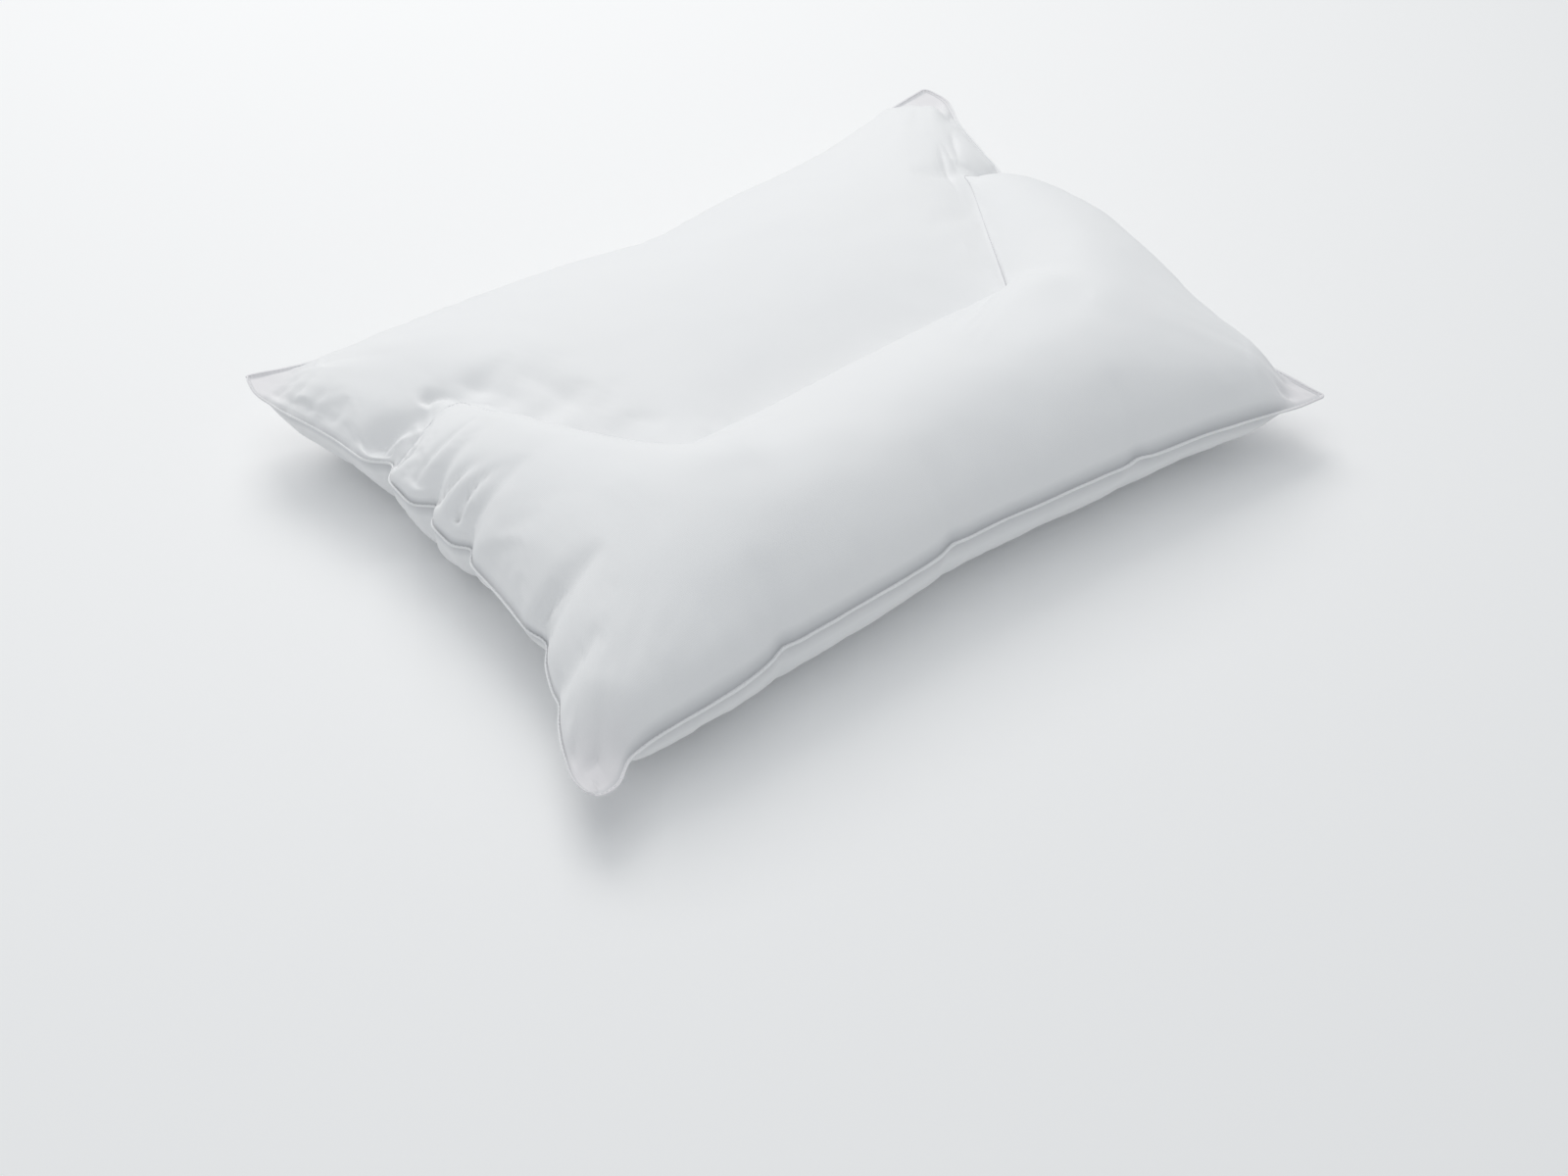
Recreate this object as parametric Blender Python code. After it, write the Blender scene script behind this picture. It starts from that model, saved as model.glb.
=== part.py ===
"""A roller pillow: one filled cotton pillow whose top is sewn into a low head part and a fuller neck roll.

Run with blender --background --python part.py, or from Blender's text editor.
Units are metres and +Z is up. The pillow lies on its back on z = 0 with its long sides along X and
the neck roll towards -Y. The origin is the middle of its box, on the surface that it lies on.
"""
from typing import NamedTuple

import bmesh
import bpy
import numpy as np

MM = 0.001

# Finished size, from corner tip to corner tip
LENGTH = 0.680
WIDTH = 0.495

# The sewn edge stands out all round as a narrow lip of two layers of cloth
LIP_WIDTH = 0.005
LIP_THICKNESS = 0.0024
BODY_LENGTH = LENGTH - 2 * LIP_WIDTH
BODY_WIDTH = WIDTH - 2 * LIP_WIDTH


class EdgeRow(NamedTuple):
    """The sewn edge at one place along a side, in millimetres but for the first column."""

    along: float     # place along the side, from -1 at its first corner to 1 at its second
    drawn_in: float  # how far the filling pulls the seam in from the straight line of the cut
    height: float    # height of the seam above the surface
    belly: float     # how far the under panel swells out past the seam


class Notch(NamedTuple):
    """A place where the seam puckers and pulls in, in millimetres."""

    side: str
    at: float
    inward: float
    half_width: float


class Fold(NamedTuple):
    """A trough (depth below zero) or ridge in the top, on a curve from the seam inwards, in millimetres."""

    start: tuple[float, float]
    middle: tuple[float, float]
    end: tuple[float, float]
    half_width: float
    depth: float
    sharpness: float  # 2 is soft, and nearer 1 is a crease


FRONT = (
    EdgeRow(-1.00, 0, 40, 0), EdgeRow(-0.945, 1, 42, 0), EdgeRow(-0.905, 10, 45, 7), EdgeRow(-0.86, 13, 47, 8),
    EdgeRow(-0.78, 13, 50, 8), EdgeRow(-0.70, 12, 53, 6), EdgeRow(-0.60, 14, 55, 6), EdgeRow(-0.50, 19, 58, 7),
    EdgeRow(-0.35, 20, 60, 5), EdgeRow(-0.15, 23, 60, 4), EdgeRow(0.00, 26, 62, 4), EdgeRow(0.20, 23, 60, 1),
    EdgeRow(0.40, 19, 58, 0), EdgeRow(0.65, 12, 54, 0), EdgeRow(0.86, 3, 47, 1), EdgeRow(0.95, 0, 43, 0),
    EdgeRow(1.00, 0, 41, 0),
)
BACK = (
    EdgeRow(-1.00, 0, 62, 0), EdgeRow(-0.86, 12, 60, 0), EdgeRow(-0.50, 15, 58, 2), EdgeRow(-0.20, 24, 57, 4),
    EdgeRow(0.02, 36, 57, 5), EdgeRow(0.25, 27, 58, 4), EdgeRow(0.55, 22, 60, 2), EdgeRow(0.82, 8, 66, 0),
    EdgeRow(1.00, 0, 70, 0),
)
LEFT = (
    EdgeRow(-1.00, 0, 40, 0), EdgeRow(-0.93, -3, 42, 0), EdgeRow(-0.84, 3, 44, -8), EdgeRow(-0.72, 16, 48, -10),
    EdgeRow(-0.58, 29, 53, -10), EdgeRow(-0.42, 35, 58, -9), EdgeRow(-0.15, 36, 60, -4), EdgeRow(0.10, 32, 62, 6),
    EdgeRow(0.30, 30, 63, 1), EdgeRow(0.60, 18, 64, -2), EdgeRow(0.80, 2, 64, -2), EdgeRow(0.93, -3, 63, 0),
    EdgeRow(1.00, 0, 62, 0),
)
RIGHT = (
    EdgeRow(-1.00, 0, 41, 0), EdgeRow(-0.86, 11, 45, -4), EdgeRow(-0.60, 20, 52, -2), EdgeRow(-0.30, 14, 58, 0),
    EdgeRow(0.00, 10, 62, 2), EdgeRow(0.22, 21, 66, 2), EdgeRow(0.38, 32, 67, 0), EdgeRow(0.52, 25, 67, 0),
    EdgeRow(0.75, 12, 68, 0), EdgeRow(0.93, -3, 69, 0), EdgeRow(1.00, 0, 70, 0),
)
NOTCHES = (
    Notch("left", 90, 13, 10), Notch("left", 31, 14, 9), Notch("left", -20, 9, 8), Notch("left", -124, 8, 12),
    Notch("left", -172, 3, 8), Notch("right", 90, 12, 12), Notch("front", -171, 3, 9), Notch("front", -16, 3, 9),
    Notch("front", 157, 3, 9),
)
NOTCH_REACH_TOP = 0.040
NOTCH_REACH_UNDER = 0.012

# The channel that parts the head part from the neck roll: a straight middle and two arms, each of
# which runs back to a short end stretch that meets the side seam
CHANNEL_MIDDLE_Y = (-0.074, -0.060)
CHANNEL_ARM_LEFT_X = (-0.148, -0.238)
CHANNEL_ARM_RIGHT_X = (0.172, 0.254)
CHANNEL_END_Y = (0.086, 0.092)
CHANNEL_CORNER = 0.03
CHANNEL_BASE = 0.063
CHANNEL_RISE = 0.034
CHANNEL_RUN = 0.060

# Fullness: the square of a chamber's swell follows a film stretched over its plan
SWELL_TOP = 0.85
SWELL_UNDER = 0.70
ROLL_LOAD = 1.0
HEAD_LOAD = 0.30
FILM_SOLVED = 1e-16
FLOOR_ROUNDING = 0.008
FLOOR_LEVEL = 0.0006
BELLY_RUN = 0.022
BELLY_CORNER_RUN = 0.050

# The filling does not reach the corners, which lie flat as ears with rounded tips
EAR_FLAT = 0.016
EAR_FULL = 0.070
TIP_RADIUS = {(-1, -1): 0.012, (1, -1): 0.004, (1, 1): 0.008, (-1, 1): 0.006}

SEAM_HOLD = 0.008
FOLD_STEPS = 12
FOLDS = (
    Fold((-302, 107), (-284, 103), (-256, 84), 9, -11, 2.0),
    Fold((-300, 82), (-287, 74), (-274, 78), 7, -14, 1.4),
    Fold((-293, 91), (-276, 90), (-262, 72), 7, 6, 2.0),
    Fold((-297, 50), (-262, 46), (-229, 46), 7, -4, 1.5),
    Fold((-300, 28), (-286, 18), (-257, -2), 9, -13, 1.6),
    Fold((-298, 44), (-289, 38), (-280, 24), 8, -5, 2.0),
    Fold((-292, -5), (-275, -4), (-252, -16), 7, -7, 1.5),
    Fold((-288, -14), (-277, -14), (-262, -20), 7, 4, 2.0),
    Fold((-296, -72), (-288, -74), (-276, -78), 11, -4, 2.0),
    Fold((-303, -122), (-290, -120), (-268, -127), 9, -10, 1.6),
    Fold((-298, -138), (-286, -136), (-272, -134), 8, 3, 2.0),
    Fold((-262, 108), (-242, 98), (-229, 62), 8, -5, 1.6),
    Fold((-227, 96), (-214, 74), (-198, 36), 9, -4, 2.0),
    Fold((-186, 63), (-174, 30), (-167, -10), 12, -3, 2.0),
    Fold((300, 92), (262, 76), (236, 60), 9, -7, 2.0),
    Fold((282, 145), (262, 110), (226, 64), 8, -6, 1.6),
    Fold((316, 190), (298, 146), (290, 112), 13, -4, 2.0),
    Fold((333, 226), (318, 200), (304, 176), 8, -4, 1.6),
    Fold((-326, 191), (-312, 190), (-298, 194), 8, -4, 1.6),
    Fold((-325, 172), (-312, 170), (-298, 170), 8, -4, 1.6),
    Fold((-336, -215), (-324, -205), (-304, -192), 8, -4, 1.6),
    Fold((-326, -228), (-312, -217), (-292, -198), 8, -5, 1.6),
    Fold((330, -226), (314, -214), (296, -204), 8, -4, 1.6),
)

# The grid of each panel: columns across the length and rows across each chamber, closer towards
# the seams, and crowded along the short sides towards the ends of the channel
COLUMNS = 54
ROLL_ROWS = 24
HEAD_ROWS = 18
COLUMN_EASE = 0.55
ROW_EASE = 0.35
SIDE_CROWDING = 1.35
FLAT_ANGLE = 0.0005

COTTON_WHITE = (0.86, 0.87, 0.885, 1.0)
COTTON_ROUGHNESS = 0.85


def mix(a, b, t):
    """Value between a and b at t from 0 to 1."""
    return a + (b - a) * t


def ease(t):
    """Smooth step from 0 to 1."""
    t = np.clip(t, 0.0, 1.0)
    return t * t * (3.0 - 2.0 * t)


def along_table(table, column, t):
    """Smooth curve through one column of an edge table, in metres."""
    knots = np.array([row.along for row in table])
    values = np.array([getattr(row, column) * MM for row in table])
    slopes = np.gradient(values, knots)
    t = np.clip(t, knots[0], knots[-1])
    i = np.clip(np.searchsorted(knots, t) - 1, 0, len(knots) - 2)
    step = knots[i + 1] - knots[i]
    u = (t - knots[i]) / step
    start = values[i] * (1 + 2 * u) * (1 - u) ** 2 + slopes[i] * step * u * (1 - u) ** 2
    end = values[i + 1] * u * u * (3 - 2 * u) + slopes[i + 1] * step * u * u * (u - 1)
    return start + end


def long_side(table, t, sign):
    """Points of the front (sign -1) or back (sign 1) seam."""
    y = sign * (BODY_WIDTH / 2 - along_table(table, "drawn_in", t))
    return np.stack([t * BODY_LENGTH / 2, y, along_table(table, "height", t)], axis=-1)


def short_side(table, t, sign):
    """Points of the left (sign -1) or right (sign 1) seam."""
    x = sign * (BODY_LENGTH / 2 - along_table(table, "drawn_in", t))
    return np.stack([x, t * BODY_WIDTH / 2, along_table(table, "height", t)], axis=-1)


def rounded_ramp(x, start, end):
    """0 before start and 1 past end, with rounded corners."""
    t = (x - start) / (end - start)
    rise = (np.sqrt(t * t + CHANNEL_CORNER ** 2) + t) / 2
    stop = (np.sqrt((t - 1) ** 2 + CHANNEL_CORNER ** 2) + (t - 1)) / 2
    return rise - stop


def channel_y(x):
    """Plan of the sewn channel."""
    inner_left, outer_left = CHANNEL_ARM_LEFT_X
    inner_right, outer_right = CHANNEL_ARM_RIGHT_X
    middle = mix(*CHANNEL_MIDDLE_Y, np.clip((x - inner_left) / (inner_right - inner_left), 0, 1))
    left_arm = rounded_ramp(-x, -inner_left, -outer_left) * (CHANNEL_END_Y[0] - CHANNEL_MIDDLE_Y[0])
    right_arm = rounded_ramp(x, inner_right, outer_right) * (CHANNEL_END_Y[1] - CHANNEL_MIDDLE_Y[1])
    return middle + left_arm + right_arm


def stations(count, amount):
    """Values from 0 to 1 that lie closer together towards both ends."""
    t = np.linspace(0.0, 1.0, count + 1)
    return mix(t, 0.5 - 0.5 * np.cos(np.pi * t), amount)


def span(front, back, left, right, s, r):
    """Surface between four edge curves (a Coons patch)."""
    s, r = s[:, None, None], r[None, :, None]
    front, back, left, right = front[:, None], back[:, None], left[None], right[None]
    corners = mix(mix(front[0, 0], front[-1, 0], s), mix(back[0, 0], back[-1, 0], s), r)
    return mix(front, back, r) + mix(left, right, s) - corners


def seam_sheet():
    """Sheet through all the seams: columns along X, rows from the front seam over the channel."""
    s = stations(COLUMNS, COLUMN_EASE)
    roll, head = stations(ROLL_ROWS, ROW_EASE), stations(HEAD_ROWS, ROW_EASE)
    crowded_roll = 1 - (1 - roll) ** SIDE_CROWDING
    crowded_head = head ** SIDE_CROWDING
    end_left, end_right = (2 * y / BODY_WIDTH for y in CHANNEL_END_Y)
    roll_left = short_side(LEFT, mix(-1, end_left, crowded_roll), -1)
    roll_right = short_side(RIGHT, mix(-1, end_right, crowded_roll), 1)
    head_left = short_side(LEFT, mix(end_left, 1, crowded_head), -1)
    head_right = short_side(RIGHT, mix(end_right, 1, crowded_head), 1)
    x = mix(roll_left[-1, 0], roll_right[-1, 0], s)
    side_height = mix(roll_left[-1, 2], roll_right[-1, 2], s)
    height = mix(side_height, CHANNEL_BASE, 1 - (2 * s - 1) ** 2)
    channel = np.stack([x, channel_y(x), height], axis=-1)
    channel[0], channel[-1] = roll_left[-1], roll_right[-1]
    t = 2 * s - 1
    roll_part = span(long_side(FRONT, t, -1), channel, roll_left, roll_right, s, roll)
    head_part = span(channel, long_side(BACK, t, 1), head_left, head_right, s, head)
    return np.concatenate([roll_part, head_part[:, 1:]], axis=1)


def stretched_film(sheet, load, held, held_value):
    """Height of a film that is pushed up by load and held where held is true, by conjugate gradients."""
    x, y = sheet[..., 0], sheet[..., 1]
    gap_x = np.hypot(np.diff(x, axis=0), np.diff(y, axis=0))
    gap_y = np.hypot(np.diff(x, axis=1), np.diff(y, axis=1))
    width_x, width_y = np.zeros_like(x), np.zeros_like(x)
    width_x[:-1] += gap_x / 2
    width_x[1:] += gap_x / 2
    width_y[:, :-1] += gap_y / 2
    width_y[:, 1:] += gap_y / 2
    tie_x = (width_y[:-1] + width_y[1:]) / 2 / gap_x
    tie_y = (width_x[:, :-1] + width_x[:, 1:]) / 2 / gap_y

    def pull(film):
        """Pull of each point's neighbours."""
        out = np.zeros_like(film)
        flow = tie_x * np.diff(film, axis=0)
        out[:-1] -= flow
        out[1:] += flow
        flow = tie_y * np.diff(film, axis=1)
        out[:, :-1] -= flow
        out[:, 1:] += flow
        return out

    free = ~held
    film = np.where(held, held_value, 0.0)
    rest = (load * width_x * width_y - pull(film)) * free
    way = rest.copy()
    size = first = (rest * rest).sum()
    while size > FILM_SOLVED * first:
        pulled = pull(way) * free
        step = size / (way * pulled).sum()
        film += step * way
        rest -= step * pulled
        last, size = size, (rest * rest).sum()
        way = rest + size / last * way
    return np.maximum(film, 0.0)


def side_frames(sheet):
    """Each side: name, axis, outward sign, table, place along it, depth in from it and from its ends."""
    x, y = sheet[..., 0], sheet[..., 1]
    in_left, in_right = x - x[:1], x[-1:] - x
    in_front, in_back = y - y[:, :1], y[:, -1:] - y
    ends_x, ends_y = np.minimum(in_left, in_right), np.minimum(in_front, in_back)
    return (
        ("front", 1, -1, FRONT, x / (BODY_LENGTH / 2), in_front, ends_x),
        ("back", 1, 1, BACK, x / (BODY_LENGTH / 2), in_back, ends_x),
        ("left", 0, -1, LEFT, y / (BODY_WIDTH / 2), in_left, ends_y),
        ("right", 0, 1, RIGHT, y / (BODY_WIDTH / 2), in_right, ends_y),
    )


def puckered(sheet, reach):
    """The sheet with the seam's notches pulled in, fading over reach."""
    out = sheet.copy()
    for name, axis, sign, _, _, depth, _ in side_frames(sheet):
        for notch in (n for n in NOTCHES if n.side == name):
            off = (sheet[..., 1 - axis] - notch.at * MM) / (notch.half_width * MM)
            out[..., axis] -= sign * notch.inward * MM * np.exp(-off * off - depth / reach)
    return out


def corner_fill(sheet):
    """0 on the flat ears and 1 where the pillow is full."""
    fill = np.ones(sheet.shape[:2])
    for side_x, side_y in TIP_RADIUS:
        away = np.hypot(sheet[..., 0] - side_x * LENGTH / 2, sheet[..., 1] - side_y * WIDTH / 2)
        fill *= ease((away - EAR_FLAT) / (EAR_FULL - EAR_FLAT))
    return fill


def round_tips(panel):
    """The panel with its square corners drawn round their tip radius."""
    out = panel.copy()
    for (side_x, side_y), radius in TIP_RADIUS.items():
        past_x = np.maximum(side_x * panel[..., 0] - (LENGTH / 2 - radius), 0.0)
        past_y = np.maximum(side_y * panel[..., 1] - (WIDTH / 2 - radius), 0.0)
        away = np.hypot(past_x, past_y)
        inside = away > 0
        pull = np.where(inside, np.maximum(past_x, past_y) / np.where(inside, away, 1.0), 1.0)
        out[..., 0] -= side_x * past_x * (1 - pull)
        out[..., 1] -= side_y * past_y * (1 - pull)
    return out


def off_curve(x, y, fold):
    """Distance of each point from the fold's curve, and where along it the nearest point is, 0 to 1."""
    start, middle, end = (np.array(point) * MM for point in (fold.start, fold.middle, fold.end))
    bend = 2 * middle - (start + end) / 2
    t = np.linspace(0.0, 1.0, FOLD_STEPS + 1)[:, None]
    knots = (1 - t) ** 2 * start + 2 * t * (1 - t) * bend + t * t * end
    best, place = np.full(x.shape, np.inf), np.zeros(x.shape)
    for i in range(FOLD_STEPS):
        run = knots[i + 1] - knots[i]
        u = np.clip(((x - knots[i, 0]) * run[0] + (y - knots[i, 1]) * run[1]) / (run @ run), 0, 1)
        off = np.hypot(x - knots[i, 0] - u * run[0], y - knots[i, 1] - u * run[1])
        place = np.where(off < best, (i + u) / FOLD_STEPS, place)
        best = np.minimum(off, best)
    return best, place


def fold_height(x, y):
    """Height that the hand-placed folds add to the top."""
    total = np.zeros_like(x)
    for fold in FOLDS:
        off, place = off_curve(x, y, fold)
        shape = np.exp(-(off / (fold.half_width * MM)) ** fold.sharpness)
        total += fold.depth * MM * (1 - ease(place)) * shape
    return total


def top_panel(sheet, fill):
    """Head part and neck roll: the sheet swollen up between the seams."""
    held = np.zeros(sheet.shape[:2], bool)
    held[[0, -1]] = True
    held[:, [0, -1]] = True
    held[:, ROLL_ROWS] = True
    x = sheet[:, ROLL_ROWS, 0]
    channel = CHANNEL_RISE * ease(np.minimum(x - x[0], x[-1] - x) / CHANNEL_RUN)
    value = np.zeros(sheet.shape[:2])
    value[:, ROLL_ROWS] = channel ** 2 / SWELL_TOP
    load = np.full(sheet.shape[:2], ROLL_LOAD)
    load[:, ROLL_ROWS + 1:] = HEAD_LOAD
    swell = np.sqrt(stretched_film(sheet, load, held, value) * SWELL_TOP) * fill
    panel = puckered(sheet, NOTCH_REACH_TOP)
    depth = np.minimum.reduce([side[5] for side in side_frames(sheet)])
    folds = fold_height(panel[..., 0], panel[..., 1]) * ease(depth / SEAM_HOLD)
    panel[..., 2] += LIP_THICKNESS / 2 + np.maximum(swell + folds, 0.0)
    return panel


def under_panel(sheet, fill):
    """Under panel: the sheet swollen down to the surface, where it lies flat, and out past the seam."""
    held = np.zeros(sheet.shape[:2], bool)
    held[[0, -1]] = True
    held[:, [0, -1]] = True
    film = stretched_film(sheet, np.ones(sheet.shape[:2]), held, 0.0)
    swell = np.sqrt(film * SWELL_UNDER) * fill
    height = sheet[..., 2] - LIP_THICKNESS / 2 - swell
    panel = puckered(sheet, NOTCH_REACH_UNDER)
    rounded = (height + np.hypot(height, FLOOR_ROUNDING)) / 2
    panel[..., 2] = np.maximum(rounded - FLOOR_LEVEL, 0.0)
    for _, axis, sign, table, along, depth, ends in side_frames(sheet):
        out = along_table(table, "belly", along)
        run = depth / BELLY_RUN
        panel[..., axis] += sign * out * run * np.exp(1 - run) * ease(ends / BELLY_CORNER_RUN)
    return panel


def with_lip(panel):
    """The panel with one more ring of points round it, for the lip."""
    out = np.pad(panel, ((1, 1), (1, 1), (0, 0)), mode="edge")
    out[0, :, 0] -= LIP_WIDTH
    out[-1, :, 0] += LIP_WIDTH
    out[:, 0, 1] -= LIP_WIDTH
    out[:, -1, 1] += LIP_WIDTH
    return out


def add_panel(shell, points, faces_down):
    """Add a grid shaped to the points and return its rim edges."""
    columns, rows = points.shape[0] - 1, points.shape[1] - 1
    grid = bmesh.ops.create_grid(shell, x_segments=columns, y_segments=rows, size=1.0)["verts"]
    for vertex in grid:
        i = round((vertex.co.x + 1) / 2 * columns)
        j = round((vertex.co.y + 1) / 2 * rows)
        vertex.co = points[i, j]
    faces = {face for vertex in grid for face in vertex.link_faces}
    if faces_down:
        bmesh.ops.reverse_faces(shell, faces=list(faces))
    return [edge for face in faces for edge in face.edges if edge.is_boundary]


def pillow_mesh():
    """Closed mesh of the pillow: both panels, joined round the lip."""
    sheet = seam_sheet()
    fill = corner_fill(sheet)
    top = round_tips(with_lip(top_panel(sheet, fill)))
    under = round_tips(with_lip(under_panel(sheet, fill)))
    shell = bmesh.new()
    rim = add_panel(shell, top, False) + add_panel(shell, under, True)
    bmesh.ops.bridge_loops(shell, edges=list(set(rim)))
    bmesh.ops.recalc_face_normals(shell, faces=shell.faces)
    mesh = bpy.data.meshes.new("pillow")
    shell.to_mesh(mesh)
    shell.free()
    mesh.shade_smooth()
    return mesh


def cotton():
    """White cotton of both panels."""
    material = bpy.data.materials.new("white_cotton")
    material.use_nodes = True
    shader = material.node_tree.nodes["Principled BSDF"]
    shader.inputs["Base Color"].default_value = COTTON_WHITE
    shader.inputs["Roughness"].default_value = COTTON_ROUGHNESS
    shader.inputs["Metallic"].default_value = 0.0
    return material


def build_pillow(collection):
    """The pillow: one filled solid."""
    pillow = bpy.data.objects.new("pillow", pillow_mesh())
    pillow.data.materials.append(cotton())
    collection.objects.link(pillow)
    flat = pillow.modifiers.new("one face where it lies", "DECIMATE")
    flat.decimate_type = "DISSOLVE"
    flat.angle_limit = FLAT_ANGLE
    return pillow


def main():
    """Clear the scene and build the pillow."""
    for item in list(bpy.data.objects):
        bpy.data.objects.remove(item, do_unlink=True)
    collection = bpy.data.collections.new("roller_pillow")
    bpy.context.scene.collection.children.link(collection)
    build_pillow(collection)


main()
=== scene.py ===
"""Looks of the roller pillow: its cotton cover, gathers, sewn channel, edge seam, stitches and studio."""
import logging
from dataclasses import dataclass, field
from enum import Enum
from typing import NamedTuple

import bpy
import numpy as np
from mathutils import Matrix, Quaternion, Vector, noise


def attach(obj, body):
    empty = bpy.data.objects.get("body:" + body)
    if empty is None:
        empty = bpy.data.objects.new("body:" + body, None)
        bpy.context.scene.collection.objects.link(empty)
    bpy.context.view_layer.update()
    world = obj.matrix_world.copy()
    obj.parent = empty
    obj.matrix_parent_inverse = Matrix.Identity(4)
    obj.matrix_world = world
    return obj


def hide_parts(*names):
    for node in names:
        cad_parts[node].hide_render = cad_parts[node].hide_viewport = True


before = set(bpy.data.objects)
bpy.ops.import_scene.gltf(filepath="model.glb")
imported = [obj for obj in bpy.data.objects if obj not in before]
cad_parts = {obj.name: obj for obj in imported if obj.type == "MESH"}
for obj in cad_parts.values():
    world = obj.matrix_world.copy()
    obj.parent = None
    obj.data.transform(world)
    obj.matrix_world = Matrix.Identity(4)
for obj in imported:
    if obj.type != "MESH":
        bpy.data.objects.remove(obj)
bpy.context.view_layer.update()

Array = np.ndarray
Triple = tuple[float, float, float]
Color = tuple[float, float, float, float]

LOG = logging.getLogger("roller_pillow")
MM = 0.001


class Side(Enum):
    """The four sides of the cover, each with its axis and the sign of its outward way."""

    FRONT = (1, -1)
    BACK = (1, 1)
    LEFT = (0, -1)
    RIGHT = (0, 1)


class EdgeRow(NamedTuple):
    """The sewn edge at one place along a side, in millimetres but for the first column."""

    along: float
    drawn_in: float
    height: float
    belly: float


def edge_rows(*rows: tuple[float, ...]) -> tuple[EdgeRow, ...]:
    """A side's table from plain rows."""
    return tuple(EdgeRow(*row) for row in rows)


class Notch(NamedTuple):
    """A place where the seam puckers and pulls in, in millimetres."""

    side: Side
    at: float
    inward: float
    half_width: float


class Fold(NamedTuple):
    """A trough (depth below zero) or ridge in the top, on a curve from the seam inwards, in millimetres."""

    start: tuple[float, float]
    middle: tuple[float, float]
    end: tuple[float, float]
    half_width: float
    depth: float
    sharpness: float
    grow: float = 0.0


def mix(a: Array | float, b: Array | float, t: Array | float) -> Array | float:
    """Value between a and b at t from 0 to 1."""
    return a + (b - a) * t


def ease(t: Array) -> Array:
    """Smooth step from 0 to 1."""
    t = np.clip(t, 0.0, 1.0)
    return t * t * (3.0 - 2.0 * t)


def soft_noise(points: Array, pitch: float, shift: float = 0.0) -> Array:
    """Smooth seeded noise at each point.

    Args:
        points: array of points whose last axis is x, y, z in metres.
        pitch: distance over which the noise changes, in metres.
        shift: offset that picks another part of the noise.

    Returns:
        Array of values from about -1 to 1, one for each point.
    """
    flat = points.reshape(-1, 3) / pitch + shift
    values = np.fromiter((noise.noise(Vector(p)) for p in flat), float, len(flat))
    return values.reshape(points.shape[:-1])


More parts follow.
